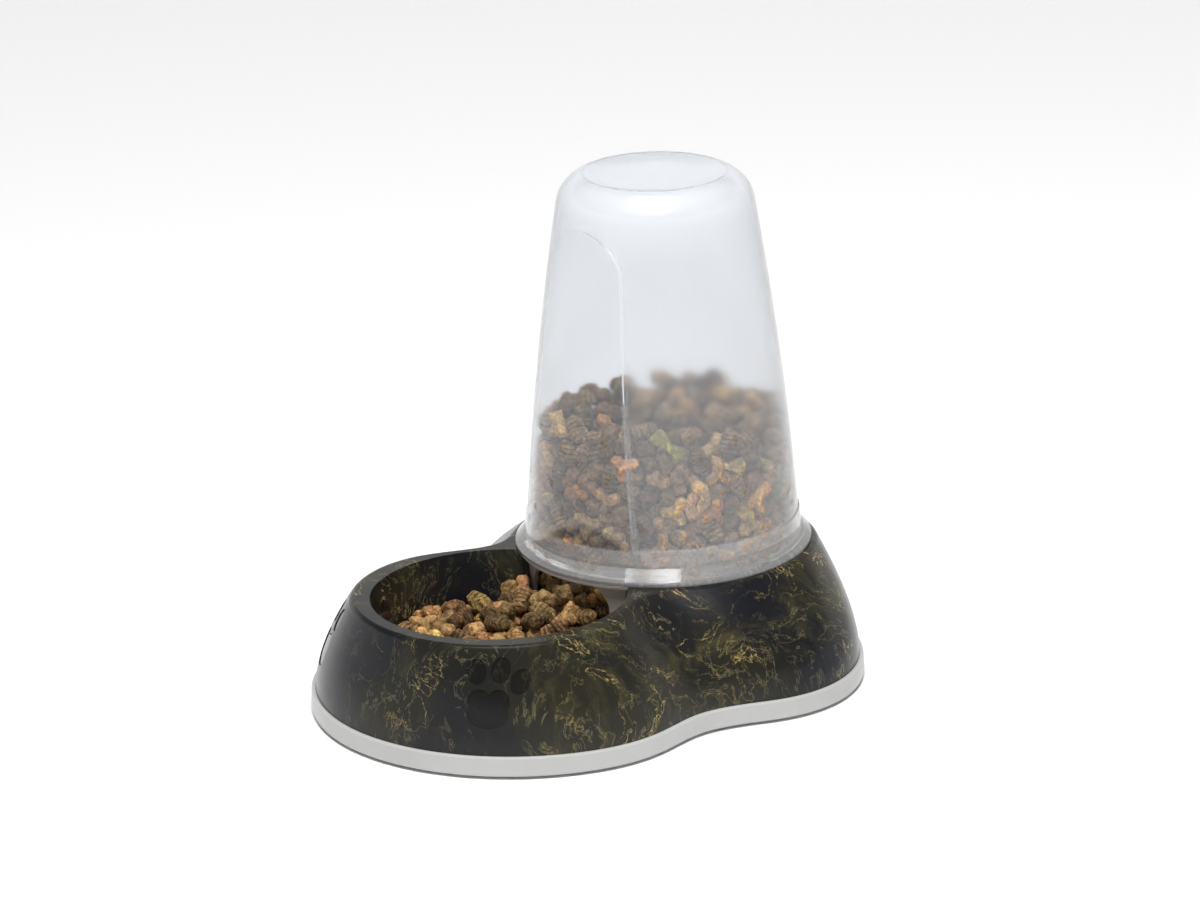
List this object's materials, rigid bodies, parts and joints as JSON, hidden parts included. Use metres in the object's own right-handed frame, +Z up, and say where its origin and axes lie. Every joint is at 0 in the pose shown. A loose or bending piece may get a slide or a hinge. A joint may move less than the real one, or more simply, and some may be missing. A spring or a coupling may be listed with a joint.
{
  "type": "gravity pet feeder",
  "caption": "Gravity dry-food feeder: an upside-down translucent hopper stands behind a round bowl in a low figure-of-eight base and refills it.",
  "frame": {"origin": "on the ground, under the middle of the whole feeder's bounding box", "axes": "+Z up, -Y towards the bowl and the pet, +Y towards the hopper and the wall behind, +X to the right seen from behind the bowl looking along +Y"},
  "size_m": [0.2282, 0.2686, 0.2397],
  "materials": {
    "marbled_shell": "glossy moulded plastic, near black with fine olive-gold veins",
    "pale_band": "satin light grey moulded plastic",
    "warm_grey_throat": "satin warm light grey moulded plastic",
    "frosted_hopper": "milky translucent polypropylene, frosted, with a polished window and foot band",
    "foot_rubber": "soft dark rubber",
    "dry_food": "rough baked dry food, brown, tan, orange and green"
  },
  "bodies": {
    "base": {"outer_shell": "marbled_shell", "bottom_tray": "pale_band", "foot_front_left": "foot_rubber", "foot_front_right": "foot_rubber", "foot_rear_left": "foot_rubber", "foot_rear_right": "foot_rubber", "kibble_in_bowl": "dry_food"},
    "throat": {"throat_insert": "warm_grey_throat", "kibble_in_throat": "dry_food"},
    "hopper": {"hopper": "frosted_hopper", "kibble_in_hopper": "dry_food"}
  },
  "joints": [
    {"name": "throat_lift", "type": "slide", "parent": "base", "child": "throat", "axis": [0, 0, 1], "range_m": [0, 0.06]},
    {"name": "hopper_lift", "type": "slide", "parent": "throat", "child": "hopper", "axis": [0, 0, 1], "range_m": [0, 0.08]}
  ]
}
